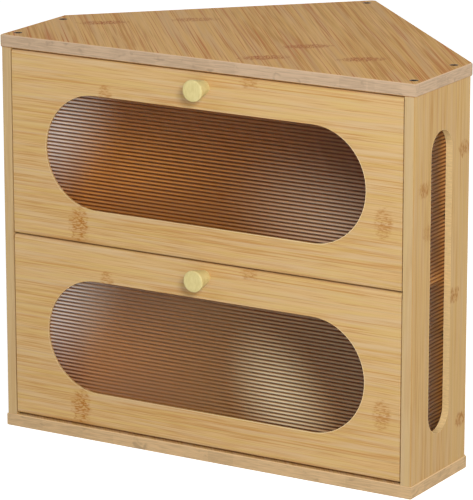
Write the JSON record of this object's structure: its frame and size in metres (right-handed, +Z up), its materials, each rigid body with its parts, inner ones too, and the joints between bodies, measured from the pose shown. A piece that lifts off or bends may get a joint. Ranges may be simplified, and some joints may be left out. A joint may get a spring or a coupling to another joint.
{
  "type": "bread box",
  "caption": "Two-tier corner bread box in bamboo: five-sided plan, stadium windows with reeded clear panes, and flap doors with turned knobs that open downwards.",
  "frame": {"origin": "centre of the base on the supporting face: on the left-right centre line, half way between the front plane and the rear corner of the boards", "axes": "+X to the object's right seen from the front, +Y to the back, +Z up"},
  "size_m": [0.438, 0.3444, 0.381],
  "materials": {
    "bamboo": "clear satin lacquer on laminated bamboo",
    "knob_wood": "pale turned wood, satin",
    "clear_acrylic": "clear, reeded on the outside",
    "steel": "plain steel",
    "magnet": "nickel plated"
  },
  "bodies": {
    "cabinet": {"bottom_board": "bamboo", "top_board": "bamboo", "bottom_screws": "steel", "top_screws": "steel", "right_side_panel": "bamboo", "left_side_panel": "bamboo", "right_back_panel": "bamboo", "left_back_panel": "bamboo", "rear_post": "bamboo", "middle_shelf": "bamboo", "right_side_pane": "clear_acrylic", "left_side_pane": "clear_acrylic", "lower_catch_block": "bamboo", "lower_catch_magnet": "magnet", "upper_catch_block": "bamboo", "upper_catch_magnet": "magnet"},
    "upper_door": {"upper_door": "bamboo", "upper_door_pane": "clear_acrylic", "upper_pane_beads": "bamboo", "upper_knob": "knob_wood", "upper_knob_screw": "steel", "upper_hinge_pins": "steel"},
    "lower_door": {"lower_door": "bamboo", "lower_door_pane": "clear_acrylic", "lower_pane_beads": "bamboo", "lower_knob": "knob_wood", "lower_knob_screw": "steel", "lower_hinge_pins": "steel"}
  },
  "joints": [
    {"name": "upper_door_hinge", "type": "hinge", "parent": "cabinet", "child": "upper_door", "pos_m": [0, -0.15825, 0.1977], "axis": [1, 0, 0], "range_deg": [0, 90]},
    {"name": "lower_door_hinge", "type": "hinge", "parent": "cabinet", "child": "lower_door", "pos_m": [0, -0.15825, 0.0204], "axis": [1, 0, 0], "range_deg": [0, 88]}
  ]
}
